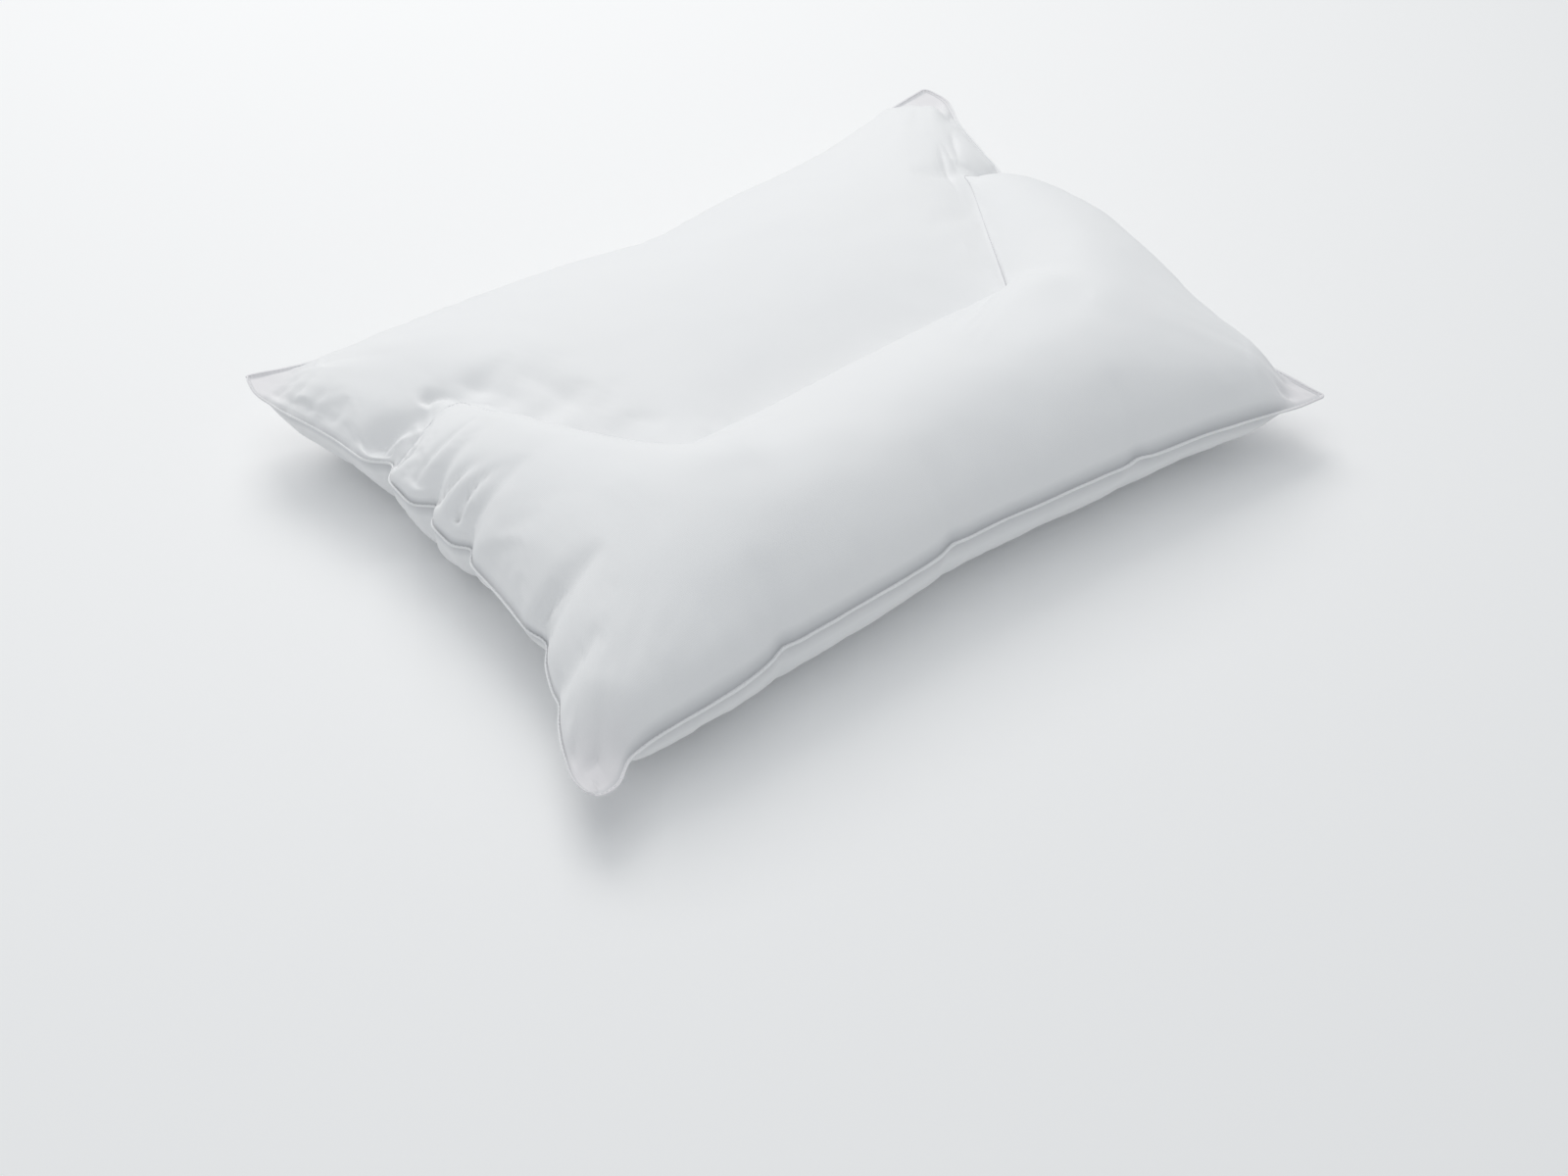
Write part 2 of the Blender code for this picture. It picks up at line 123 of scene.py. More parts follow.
@dataclass
class EdgeSeam:
    """The seam that closes the cover all round, drawn in between its corners by the filling."""

    length: float = 0.6740
    width: float = 0.4890
    tables: dict[Side, tuple[EdgeRow, ...]] = field(default_factory=lambda: {
        Side.FRONT: edge_rows(
            (-1.00, 0, 40, 0), (-0.945, 1, 42, 0), (-0.905, 10, 45, 7), (-0.86, 13, 47, 8),
            (-0.78, 13, 50, 8), (-0.70, 12, 53, 6), (-0.60, 14, 55, 6), (-0.50, 19, 58, 7),
            (-0.35, 20, 60, 5), (-0.15, 23, 60, 4), (0.00, 26, 62, 4), (0.20, 23, 60, 1),
            (0.40, 19, 58, 0), (0.65, 12, 54, 0), (0.86, 3, 47, 1), (0.95, 0, 43, 0), (1.00, 0, 41, 0),
        ),
        Side.BACK: edge_rows(
            (-1.00, 0, 62, 0), (-0.86, 12, 60, 0), (-0.50, 15, 58, 2), (-0.20, 24, 57, 4),
            (0.02, 36, 57, 5), (0.25, 27, 58, 4), (0.55, 22, 60, 2), (0.82, 8, 66, 0), (1.00, 0, 70, 0),
        ),
        Side.LEFT: edge_rows(
            (-1.00, 0, 40, 0), (-0.93, -3, 42, 0), (-0.84, 3, 44, -8), (-0.72, 16, 48, -10),
            (-0.58, 29, 53, -10), (-0.42, 35, 58, -9), (-0.15, 36, 60, -4), (0.10, 32, 62, 6),
            (0.30, 30, 63, 1), (0.60, 18, 64, -2), (0.80, 2, 64, -2), (0.93, -3, 63, 0), (1.00, 0, 62, 0),
        ),
        Side.RIGHT: edge_rows(
            (-1.00, 0, 41, 0), (-0.86, 11, 45, -4), (-0.60, 20, 52, -2), (-0.30, 14, 58, 0),
            (0.00, 10, 62, 2), (0.22, 21, 66, 2), (0.38, 32, 67, 0), (0.52, 25, 67, 0), (0.75, 12, 68, 0),
            (0.93, -3, 69, 0), (1.00, 0, 70, 0),
        ),
    })
    notches: tuple[Notch, ...] = (
        Notch(Side.LEFT, 90, 13, 10), Notch(Side.LEFT, 31, 14, 9), Notch(Side.LEFT, -20, 9, 8),
        Notch(Side.LEFT, -124, 8, 12), Notch(Side.LEFT, -172, 3, 8), Notch(Side.RIGHT, 90, 12, 12),
        Notch(Side.FRONT, -171, 3, 9), Notch(Side.FRONT, -16, 3, 9), Notch(Side.FRONT, 157, 3, 9),
    )

    def column(self, side: Side, name: str, t: Array) -> Array:
        """Smooth curve through one column of a side's table.

        Args:
            side: the side whose table is read.
            name: the column's name.
            t: places along the side from -1 to 1.

        Returns:
            The column's values at those places, in metres.
        """
        table = self.tables[side]
        knots = np.array([row.along for row in table])
        values = np.array([getattr(row, name) * MM for row in table])
        slopes = np.gradient(values, knots)
        t = np.clip(t, knots[0], knots[-1])
        i = np.clip(np.searchsorted(knots, t) - 1, 0, len(knots) - 2)
        step = knots[i + 1] - knots[i]
        u = (t - knots[i]) / step
        start = values[i] * (1 + 2 * u) * (1 - u) ** 2 + slopes[i] * step * u * (1 - u) ** 2
        end = values[i + 1] * u * u * (3 - 2 * u) + slopes[i + 1] * step * u * u * (u - 1)
        return start + end

    def points(self, side: Side, t: Array) -> Array:
        """Points of one side's seam.

        Args:
            side: the side.
            t: places along it from -1 to 1.

        Returns:
            Array of x, y, z for each place, in metres.
        """
        axis, sign = side.value
        out = np.empty(t.shape + (3,))
        half, run = (self.length, self.width) if axis == 0 else (self.width, self.length)
        out[..., axis] = sign * (half / 2 - self.column(side, "drawn_in", t))
        out[..., 1 - axis] = t * run / 2
        out[..., 2] = self.column(side, "height", t)
        return out

    def frames(self, sheet: Array) -> list[tuple[Side, Array, Array, Array]]:
        """Where each point of a sheet lies as seen from each side.

        Args:
            sheet: grid of points, columns along X and rows along Y.

        Returns:
            For each side: the side, the place along it, the depth in from it and from its ends.
        """
        x, y = sheet[..., 0], sheet[..., 1]
        in_left, in_right = x - x[:1], x[-1:] - x
        in_front, in_back = y - y[:, :1], y[:, -1:] - y
        ends_x, ends_y = np.minimum(in_left, in_right), np.minimum(in_front, in_back)
        along_x, along_y = x / (self.length / 2), y / (self.width / 2)
        return [
            (Side.FRONT, along_x, in_front, ends_x), (Side.BACK, along_x, in_back, ends_x),
            (Side.LEFT, along_y, in_left, ends_y), (Side.RIGHT, along_y, in_right, ends_y),
        ]


@dataclass
class Channel:
    """The sewn channel that parts the head part from the neck roll."""

    middle_y: tuple[float, float] = (-0.074, -0.060)
    arm_left_x: tuple[float, float] = (-0.148, -0.238)
    arm_right_x: tuple[float, float] = (0.172, 0.254)
    end_y: tuple[float, float] = (0.086, 0.092)
    corner: float = 0.03
    base: float = 0.063
    rise: float = 0.034
    run: float = 0.060

    def ramp(self, x: Array, start: float, end: float) -> Array:
        """Step from 0 before start to 1 past end, with rounded corners.

        Args:
            x: places along the pillow, in metres.
            start: where the step begins.
            end: where the step is full.

        Returns:
            Value of the step at each place.
        """
        t = (x - start) / (end - start)
        rise = (np.sqrt(t * t + self.corner ** 2) + t) / 2
        stop = (np.sqrt((t - 1) ** 2 + self.corner ** 2) + (t - 1)) / 2
        return rise - stop

    def plan(self, x: Array) -> Array:
        """Y of the channel at each x.

        Args:
            x: places along the pillow, in metres.

        Returns:
            The channel's y at those places, in metres.
        """
        inner_left, outer_left = self.arm_left_x
        inner_right, outer_right = self.arm_right_x
        middle = mix(*self.middle_y, np.clip((x - inner_left) / (inner_right - inner_left), 0, 1))
        left_arm = self.ramp(-x, -inner_left, -outer_left) * (self.end_y[0] - self.middle_y[0])
        right_arm = self.ramp(x, inner_right, outer_right) * (self.end_y[1] - self.middle_y[1])
        return middle + left_arm + right_arm

    def lift(self, x: Array) -> Array:
        """Height of the channel's line above the sheet at each x of it."""
        return self.rise * ease(np.minimum(x - x[0], x[-1] - x) / self.run)


def added(made: bpy.types.Object) -> bpy.types.Object:
    """The object, linked to the scene."""
    bpy.context.scene.collection.objects.link(made)
    return made


def set_inputs(node: bpy.types.Node, values: dict[str, float | Color]) -> None:
    """Set a node's inputs, given as a value for each name."""
    for name, value in values.items():
        node.inputs[name].default_value = value


def closed_mesh(name: str, top: Array, under: Array) -> bpy.types.Mesh:
    """Join two grids of points at their rims into one closed mesh.

    Args:
        name: the mesh's name.
        top: the upper grid.
        under: the lower grid, with as many points.

    Returns:
        The mesh, the top's points first.
    """
    columns, rows = top.shape[:2]
    index = np.arange(columns * rows).reshape(columns, rows)
    quads = np.stack([index[:-1, :-1], index[1:, :-1], index[1:, 1:], index[:-1, 1:]], axis=-1).reshape(-1, 4)
    rim = np.concatenate([index[:-1, 0], index[-1, :-1], index[:0:-1, -1], index[0, :0:-1]])
    after = np.roll(rim, -1)
    count = columns * rows
    edge = np.stack([rim + count, after + count, after, rim], axis=-1)
    faces = np.concatenate([quads, quads[:, ::-1] + count, edge])
    mesh = bpy.data.meshes.new(name)
    mesh.from_pydata(np.concatenate([top.reshape(-1, 3), under.reshape(-1, 3)]).tolist(), [], faces.tolist())
    mesh.shade_smooth()
    return mesh


class Slack(NamedTuple):
    """A place where the cover holds more cloth than it needs, in millimetres."""

    x: float
    y: float
    reach: float


@dataclass
class Settling:
    """A short cloth simulation in which the filled cover finds its own small creases between its seams."""

    frames: int = 20
    pressure: float = 4.5
    surplus: float = 0.022
    taut_surplus: float = 0.0
    slack: tuple[Slack, ...] = (
        Slack(-300, 50, 85), Slack(-290, -120, 45), Slack(290, 135, 40), Slack(-340, 245, 90),
        Slack(340, 245, 70), Slack(-340, -245, 55), Slack(345, -245, 50), Slack(-130, -60, 25),
    )
    slack_steps: int = 12
    cap: float = 0.0045
    tension: float = 15.0
    bending: float = 0.3
    quality: int = 5
    cubic: tuple[float, float] = (9 / 16, -1 / 16)

    def taut(self, points: Array) -> Array:
        """How taut the cloth is.

        Args:
            points: grid of points of a panel.

        Returns:
            For each point, 1 where the cloth is taut and 0 where it is slack.
        """
        loose = np.zeros(points.shape[:-1])
        for place in self.slack:
            away = np.hypot(points[..., 0] - place.x * MM, points[..., 1] - place.y * MM) / (place.reach * MM)
            loose = np.maximum(loose, np.exp(-away * away))
        return 1 - loose

    def moved(self, panels: tuple[Array, Array], held: tuple[Array, Array]) -> list[Array]:
        """Let every second point of the cover settle under the filling's push.

        Args:
            panels: grids of points of the top and of the under panel.
            held: for each panel, true where it is sewn or lies on the floor.

        Returns:
            For each panel, how far each of its points moves.
        """
        scene = bpy.context.scene
        coarse = [panel[::2, ::2] for panel in panels]
        cloth = added(bpy.data.objects.new("settling", closed_mesh("settling", *coarse)))
        group = cloth.vertex_groups.new(name="sewn")
        pinned = np.concatenate([points[::2, ::2].ravel() for points in held])
        group.add(np.flatnonzero(pinned).tolist(), 1.0, "REPLACE")
        modifier = cloth.modifiers.new("settling", "CLOTH")
        settings = modifier.settings
        settings.quality = self.quality
        settings.use_pressure = True
        settings.uniform_pressure_force = self.pressure
        settings.effector_weights.gravity = 0.0
        settings.vertex_group_mass = group.name
        settings.shrink_min, settings.shrink_max = -self.surplus, -self.taut_surplus
        snug = cloth.vertex_groups.new(name="taut")
        level = np.concatenate([self.taut(panel).ravel() for panel in coarse])
        level = np.round(level * self.slack_steps)
        for step in range(1, self.slack_steps + 1):
            snug.add(np.flatnonzero(level == step).tolist(), step / self.slack_steps, "REPLACE")
        settings.vertex_group_shrink = snug.name
        settings.tension_stiffness = settings.compression_stiffness = self.tension
        settings.bending_stiffness = self.bending
        modifier.collision_settings.use_collision = False
        modifier.point_cache.frame_start, modifier.point_cache.frame_end = 1, self.frames
        for number in range(1, self.frames + 1):
            scene.frame_set(number)
        settled = cloth.evaluated_get(bpy.context.evaluated_depsgraph_get()).to_mesh()
        places = np.empty(len(settled.vertices) * 3)
        settled.vertices.foreach_get("co", places)
        places = places.reshape((2,) + coarse[0].shape)
        bpy.data.objects.remove(cloth)
        scene.frame_set(1)
        shifts = []
        for before, after in zip(coarse, places):
            shift = after - before
            size = np.linalg.norm(shift, axis=-1, keepdims=True)
            LOG.info("settled by %.1f mm on average, %.1f mm at most", size.mean() / MM, size.max() / MM)
            shifts.append(self.finer(shift * self.cap / np.hypot(size, self.cap)))
        return shifts

    def finer(self, grid: Array) -> Array:
        """Add a value between each two values of a grid, on the cubic through the four nearest.

        Args:
            grid: grid of moves, for every second point.

        Returns:
            Grid of moves for every point.
        """
        near, far = self.cubic
        for axis in (0, 1):
            grid = np.swapaxes(grid, 0, axis)
            wide = np.concatenate([2 * grid[:1] - grid[1:2], grid, 2 * grid[-1:] - grid[-2:-1]])
            out = np.empty((2 * len(grid) - 1,) + grid.shape[1:])
            out[::2] = grid
            out[1::2] = near * (wide[1:-2] + wide[2:-1]) + far * (wide[:-3] + wide[3:])
            grid = np.swapaxes(out, 0, axis)
        return grid


@dataclass
class Cover:
    """The cotton cover: head panel, neck-roll panel and under panel, sewn to a lip all round."""

    edge: EdgeSeam = field(default_factory=EdgeSeam)
    channel: Channel = field(default_factory=Channel)
    settling: Settling = field(default_factory=Settling)
    columns: int = 250
    roll_rows: int = 112
    head_rows: int = 62
    column_ease: float = 0.62
    row_ease: float = 0.25
    side_crowding: float = 1.45
    swell_top: float = 0.85
    swell_under: float = 0.70
    roll_load: float = 1.0
    head_load: float = 0.30
    film_solved: float = 1e-12
    floor_rounding: float = 0.008
    floor_level: float = 0.0006
    belly_run: float = 0.022
    belly_corner_run: float = 0.050
    notch_reach_top: float = 0.040
    notch_reach_under: float = 0.012
    tip_reach: float = 0.005
    ear_flat: float = 0.016
    ear_full: float = 0.070
    seam_hold: float = 0.008
    tips: tuple[tuple[int, int, float], ...] = (
        (-1, -1, 0.012), (1, -1, 0.004), (1, 1, 0.008), (-1, 1, 0.006))
    lip_rings: tuple[tuple[float, float], ...] = (
        (0.0010, 0.0003), (0.0018, 0.0010), (0.0030, 0.0009), (0.0036, 0.0003))
    lip_left: float = 0.6
    lip_turn_up: float = 0.0014
    lip_sway: float = 0.0010
    lip_pitch: float = 0.024
    lip_uneven: float = 0.25
    lip_width_shift: float = 2.2
    lip_sway_shift: float = 4.4
    fold_steps: int = 16
    folds: tuple[Fold, ...] = (
        Fold((-302, 107), (-284, 103), (-250, 90), 8, -23, 1.4),
        Fold((-302, 83), (-287, 74), (-268, 78), 4, -20, 1.1),
        Fold((-294, 92), (-276, 91), (-260, 72), 4.5, 7, 1.5),
        Fold((-300, 98), (-284, 92), (-270, 96), 3, -5, 1.2),
        Fold((-297, 50), (-262, 47), (-229, 46), 3.5, -5, 1.1),
        Fold((-300, 28), (-286, 18), (-255, -3), 5, -16, 1.2),
        Fold((-298, 44), (-289, 38), (-278, 22), 6, -6, 1.6),
        Fold((-297, 6), (-281, 6), (-258, -8), 4, 4, 1.6),
        Fold((-296, 16), (-280, 14), (-258, 6), 3, -5, 1.2),
        Fold((-294, -5), (-275, -4), (-244, -18), 3.5, -12, 1.1),
        Fold((-290, -13), (-277, -13), (-262, -18), 3.5, 3, 1.6),
        Fold((-285, -15), (-292, -16), (-299, -23), 4, -5, 1.3),
        Fold((-298, -30), (-284, -30), (-262, -38), 4, -4, 1.2),
        Fold((-298, -70), (-290, -74), (-278, -80), 8, -4, 1.6),
        Fold((-303, -122), (-290, -120), (-264, -129), 5.5, -14, 1.2),
        Fold((-298, -127), (-286, -126), (-272, -131), 3, 4, 1.6),
        Fold((-298, -134), (-286, -133), (-274, -135), 3, -5, 1.2),
        Fold((-263, 106), (-244, 97), (-228, 58), 4.5, -8, 1.2, 0.25),
        Fold((-240, 108), (-216, 78), (-198, 32), 9, -6, 1.6, 0.5),
        Fold((-196, 84), (-178, 36), (-167, -14), 10, -5, 1.6, 0.5),
        Fold((262, 140), (236, 94), (214, 44), 3.2, -5, 1.1, 0.4),
        Fold((290, 156), (270, 124), (250, 94), 2.6, -5, 1.1, 0.4),
        Fold((266, 140), (255, 112), (240, 72), 2.4, -3.5, 1.1, 0.5),
        Fold((298, 98), (262, 84), (236, 60), 5, -5, 1.4),
        Fold((318, 190), (300, 146), (292, 112), 12, -2, 2.0),
        Fold((334, 227), (318, 200), (304, 176), 4, -4, 1.2),
        Fold((326, 236), (308, 214), (286, 196), 4, -3, 1.3),
        Fold((-328, 191), (-312, 190), (-292, 196), 4, -5, 1.2),
        Fold((-326, 172), (-312, 170), (-294, 172), 4, -5, 1.2),
        Fold((-330, 208), (-314, 206), (-296, 212), 4, -4, 1.3),
        Fold((-322, 152), (-308, 148), (-294, 150), 5, -4, 1.4),
        Fold((-337, -216), (-325, -206), (-304, -190), 3.5, -5, 1.2),
        Fold((-328, -229), (-312, -216), (-290, -194), 4, -6, 1.2),
        Fold((-334, -200), (-322, -192), (-306, -182), 3.5, -4, 1.2),
        Fold((-320, -173), (-308, -168), (-292, -166), 4, -4, 1.2),
        Fold((-310, -236), (-302, -226), (-290, -210), 4, -4, 1.3),
        Fold((-259, -230), (-257, -222), (-252, -206), 4.5, -4, 1.3),
        Fold((-188, -226), (-186, -218), (-182, -206), 5, -2, 1.5),
        Fold((-96, -222), (-94, -212), (-90, -198), 5, -2, 1.5),
        Fold((8, -220), (8, -210), (12, -196), 5, -1.6, 1.5),
        Fold((96, -224), (95, -214), (92, -200), 5, -1.6, 1.5),
        Fold((331, -228), (315, -215), (292, -200), 4, -5, 1.3),
        Fold((334, -206), (318, -198), (300, -190), 4, -4, 1.3),
        Fold((312, -236), (302, -226), (286, -214), 4, -4, 1.3),
        Fold((-128, -98), (-112, -96), (-80, -94), 30, 8, 2.0),
        Fold((176, -84), (186, -76), (200, -66), 26, 6, 2.0),
    )
    edge_hold: float = 0.006
    pucker_height: float = 0.0011
    pucker_pitch: float = 0.013
    pucker_reach: float = 0.016
    pucker_stretch: float = 0.25
    gathered_left: tuple[float, float] = (0.15, 0.10)
    left_gather: float = 0.8
    channel_hold: float = 0.008
    channel_pucker_start: float = 0.003
    channel_pucker_height: float = 0.0008
    channel_pucker_reach: float = 0.011
    channel_shift: float = 11.7
    sway_height: float = 0.0016
    sway_pitch: float = 0.075
    sway_shift: float = 7.3
    ripple_height: float = 0.0005
    ripple_pitch: float = 0.028
    ripple_shift: float = 3.1
    tip_creases: float = 7.0
    tip_crease_height: float = 0.0012
    tip_crease_reach: float = 0.055
    tip_crease_stretch: float = 0.6
    tip_shift: float = 5.9
    stitched_ring: int = 2
    # Painted shade along the seams: how dark the lip's rim and the channel's line are painted, and the run
    # over which it fades in at the channel's ends.
    edge_painted_shade: float = 0.7
    channel_painted_shade: float = 0.30
    painted_shade_end: float = 0.004

    def spaced(self, count: int, amount: float) -> Array:
        """Values from 0 to 1 that lie closer together towards both ends."""
        t = np.linspace(0.0, 1.0, count + 1)
        return mix(t, 0.5 - 0.5 * np.cos(np.pi * t), amount)

    def span(self, front: Array, back: Array, left: Array, right: Array,
             s: Array, r: Array) -> Array:
        """Surface between four edge curves.

        Args:
            front: points along the front edge, one for each s.
            back: points along the back edge, one for each s.
            left: points along the left edge, one for each r.
            right: points along the right edge, one for each r.
            s: places from left to right, 0 to 1.
            r: places from front to back, 0 to 1.

        Returns:
            Grid of points between the edges.
        """
        s, r = s[:, None, None], r[None, :, None]
        front, back, left, right = front[:, None], back[:, None], left[None], right[None]
        corners = mix(mix(front[0, 0], front[-1, 0], s), mix(back[0, 0], back[-1, 0], s), r)
        return mix(front, back, r) + mix(left, right, s) - corners

    def sheet(self) -> Array:
        """Lay a sheet through all the seams.

        Returns:
            Grid of points, columns along X and rows from the front seam over the channel to the back.
        """
        s = self.spaced(self.columns, self.column_ease)
        roll = self.spaced(self.roll_rows, self.row_ease)
        head = self.spaced(self.head_rows, self.row_ease)
        crowded_roll = 1 - (1 - roll) ** self.side_crowding
        crowded_head = head ** self.side_crowding
        end_left, end_right = (2 * y / self.edge.width for y in self.channel.end_y)
        roll_left = self.edge.points(Side.LEFT, mix(-1, end_left, crowded_roll))
        roll_right = self.edge.points(Side.RIGHT, mix(-1, end_right, crowded_roll))
        head_left = self.edge.points(Side.LEFT, mix(end_left, 1, crowded_head))
        head_right = self.edge.points(Side.RIGHT, mix(end_right, 1, crowded_head))
        x = mix(roll_left[-1, 0], roll_right[-1, 0], s)
        side_height = mix(roll_left[-1, 2], roll_right[-1, 2], s)
        height = mix(side_height, self.channel.base, 1 - (2 * s - 1) ** 2)
        line = np.stack([x, self.channel.plan(x), height], axis=-1)
        line[0], line[-1] = roll_left[-1], roll_right[-1]
        t = 2 * s - 1
        roll_part = self.span(self.edge.points(Side.FRONT, t), line, roll_left, roll_right, s, roll)
        head_part = self.span(line, self.edge.points(Side.BACK, t), head_left, head_right, s, head)
        return np.concatenate([roll_part, head_part[:, 1:]], axis=1)

    def film(self, sheet: Array, load: Array, held: Array, value: Array) -> Array:
        """Height of a film over the sheet that is pushed up and held, by conjugate gradients.

        Args:
            sheet: grid of points that the film covers.
            load: push at each point.
            held: true where the film is held.
            value: height at the held points.

        Returns:
            Height of the film at each point.
        """
        x, y = sheet[..., 0], sheet[..., 1]
        gap_x = np.hypot(np.diff(x, axis=0), np.diff(y, axis=0))
        gap_y = np.hypot(np.diff(x, axis=1), np.diff(y, axis=1))
        width_x, width_y = np.zeros_like(x), np.zeros_like(x)
        width_x[:-1] += gap_x / 2
        width_x[1:] += gap_x / 2
        width_y[:, :-1] += gap_y / 2
        width_y[:, 1:] += gap_y / 2
        tie_x = (width_y[:-1] + width_y[1:]) / 2 / gap_x
        tie_y = (width_x[:, :-1] + width_x[:, 1:]) / 2 / gap_y

        def pull(height: Array) -> Array:
            """Pull of each point's neighbours.

            Args:
                height: height of the film at each point.

            Returns:
                The pull at each point.
            """
            out = np.zeros_like(height)
            flow = tie_x * np.diff(height, axis=0)
            out[:-1] -= flow
            out[1:] += flow
            flow = tie_y * np.diff(height, axis=1)
            out[:, :-1] -= flow
            out[:, 1:] += flow
            return out

        free = ~held
        height = np.where(held, value, 0.0)
        rest = (load * width_x * width_y - pull(height)) * free
        way = rest.copy()
        size = first = (rest * rest).sum()
        while size > self.film_solved * first:
            pulled = pull(way) * free
            step = size / (way * pulled).sum()
            height += step * way
            rest -= step * pulled
            last, size = size, (rest * rest).sum()
            way = rest + size / last * way
        return np.maximum(height, 0.0)

    def puckered(self, sheet: Array, reach: float) -> Array:
        """Pull the seam's notches in.

        Args:
            sheet: the sheet through the seams.
            reach: distance over which the pull fades, in metres.

        Returns:
            The pulled sheet.
        """
        out = sheet.copy()
        for side, _, depth, _ in self.edge.frames(sheet):
            axis, sign = side.value
            for notch in (n for n in self.edge.notches if n.side is side):
                off = (sheet[..., 1 - axis] - notch.at * MM) / (notch.half_width * MM)
                out[..., axis] -= sign * notch.inward * MM * np.exp(-off * off - depth / reach)
        return out

    def fill(self, sheet: Array) -> Array:
        """How full the pillow is.

        Args:
            sheet: the sheet through the seams.

        Returns:
            For each point, 0 on the flat ears and 1 where the pillow is full.
        """
        full = np.ones(sheet.shape[:2])
        for corner in (sheet[0, 0], sheet[-1, 0], sheet[0, -1], sheet[-1, -1]):
            tip = corner[:2] + np.sign(corner[:2]) * self.tip_reach
            away = np.hypot(sheet[..., 0] - tip[0], sheet[..., 1] - tip[1])
            full *= ease((away - self.ear_flat) / (self.ear_full - self.ear_flat))
        return full

    def off_curve(self, x: Array, y: Array, fold: Fold) -> tuple[Array, Array]:
        """How far each point lies from a fold's curve.

        Args:
            x: x of each point, in metres.
            y: y of each point, in metres.
            fold: the fold.

        Returns:
            The distance of each point, and where along the curve the nearest place is, 0 to 1.
        """
        start, middle, end = (np.array(point) * MM for point in (fold.start, fold.middle, fold.end))
        bend = 2 * middle - (start + end) / 2
        t = np.linspace(0.0, 1.0, self.fold_steps + 1)[:, None]
        knots = (1 - t) ** 2 * start + 2 * t * (1 - t) * bend + t * t * end
        best, place = np.full(x.shape, np.inf), np.zeros(x.shape)
        for i in range(self.fold_steps):
            run = knots[i + 1] - knots[i]
            u = np.clip(((x - knots[i, 0]) * run[0] + (y - knots[i, 1]) * run[1]) / (run @ run), 0, 1)
            off = np.hypot(x - knots[i, 0] - u * run[0], y - knots[i, 1] - u * run[1])
            place = np.where(off < best, (i + u) / self.fold_steps, place)
            best = np.minimum(off, best)
        return best, place

    def fold_height(self, x: Array, y: Array) -> Array:
        """Height that the listed folds add to the top.

        Args:
            x: x of each point, in metres.
            y: y of each point, in metres.

        Returns:
            Height to add at each point, in metres.
        """
        total = np.zeros_like(x)
        for fold in self.folds:
            off, place = self.off_curve(x, y, fold)
            shape = np.exp(-(off / (fold.half_width * MM)) ** fold.sharpness)
            grown = ease(place / fold.grow) if fold.grow else 1.0
            total += fold.depth * MM * (1 - ease(place)) * grown * shape
        return total

    def round_tips(self, panel: Array) -> Array:
        """Draw a panel's square corners round their tip radius.

        Args:
            panel: grid of points of a panel with its lip.

        Returns:
            The rounded grid.
        """
        out = panel.copy()
        lip = self.lip_rings[-1][0]
        half_x, half_y = self.edge.length / 2 + lip, self.edge.width / 2 + lip
        for side_x, side_y, radius in self.tips:
            past_x = np.maximum(side_x * panel[..., 0] - (half_x - radius), 0.0)
            past_y = np.maximum(side_y * panel[..., 1] - (half_y - radius), 0.0)
            away = np.hypot(past_x, past_y)
            past = away > 0
            pull = np.where(past, np.maximum(past_x, past_y) / np.where(past, away, 1.0), 1.0)
            out[..., 0] -= side_x * past_x * (1 - pull)
            out[..., 1] -= side_y * past_y * (1 - pull)
        return out

    def rim(self, shape: tuple[int, int]) -> Array:
        """Mark the rim of a grid.

        Args:
            shape: numbers of columns and rows of the grid.

        Returns:
            Grid that is true on its rim.
        """
        held = np.zeros(shape, bool)
        held[[0, -1]] = True
        held[:, [0, -1]] = True
        return held

    def top(self, sheet: Array, full: Array) -> Array:
        """Head panel and neck-roll panel: the sheet swollen up between the seams.

        Args:
            sheet: the sheet through the seams.
            full: fullness of each point.

        Returns:
            Grid of points of the top.
        """
        held = self.rim(sheet.shape[:2])
        held[:, self.roll_rows] = True
        value = np.zeros(sheet.shape[:2])
        value[:, self.roll_rows] = self.channel.lift(sheet[:, self.roll_rows, 0]) ** 2 / self.swell_top
        load = np.full(sheet.shape[:2], self.roll_load)
        load[:, self.roll_rows + 1:] = self.head_load
        swell = np.sqrt(self.film(sheet, load, held, value) * self.swell_top) * full
        panel = self.puckered(sheet, self.notch_reach_top)
        panel[..., 2] += self.lip_rings[0][1] + swell
        return panel

    def folded(self, panel: Array, sheet: Array) -> Array:
        """The top with the listed folds pressed into it, down to the seam's level at the most.

        Args:
            panel: grid of points of the top.
            sheet: the sheet through the seams.

        Returns:
            The folded grid.
        """
        out = panel.copy()
        depth = np.minimum.reduce([side[2] for side in self.edge.frames(sheet)])
        folds = self.fold_height(panel[..., 0], panel[..., 1]) * ease(depth / self.seam_hold)
        base = np.minimum(sheet[..., 2] + self.lip_rings[0][1], panel[..., 2])
        out[..., 2] = np.maximum(panel[..., 2] + folds, base)
        return out

    def under(self, sheet: Array, full: Array) -> Array:
        """Under panel: the sheet swollen down to the floor, where it lies flat, and out past the seam.

        Args:
            sheet: the sheet through the seams.
            full: fullness of each point.

        Returns:
            Grid of points of the under panel.
        """
        shape = sheet.shape[:2]
        film = self.film(sheet, np.ones(shape), self.rim(shape), np.zeros(shape))
        height = sheet[..., 2] - self.lip_rings[0][1] - np.sqrt(film * self.swell_under) * full
        panel = self.puckered(sheet, self.notch_reach_under)
        rounded = (height + np.hypot(height, self.floor_rounding)) / 2
        panel[..., 2] = np.maximum(rounded - self.floor_level, 0.0)
        for side, along, depth, ends in self.edge.frames(sheet):
            axis, sign = side.value
            out = self.edge.column(side, "belly", along)
            run = depth / self.belly_run
            panel[..., axis] += sign * out * run * np.exp(1 - run) * ease(ends / self.belly_corner_run)
        return panel

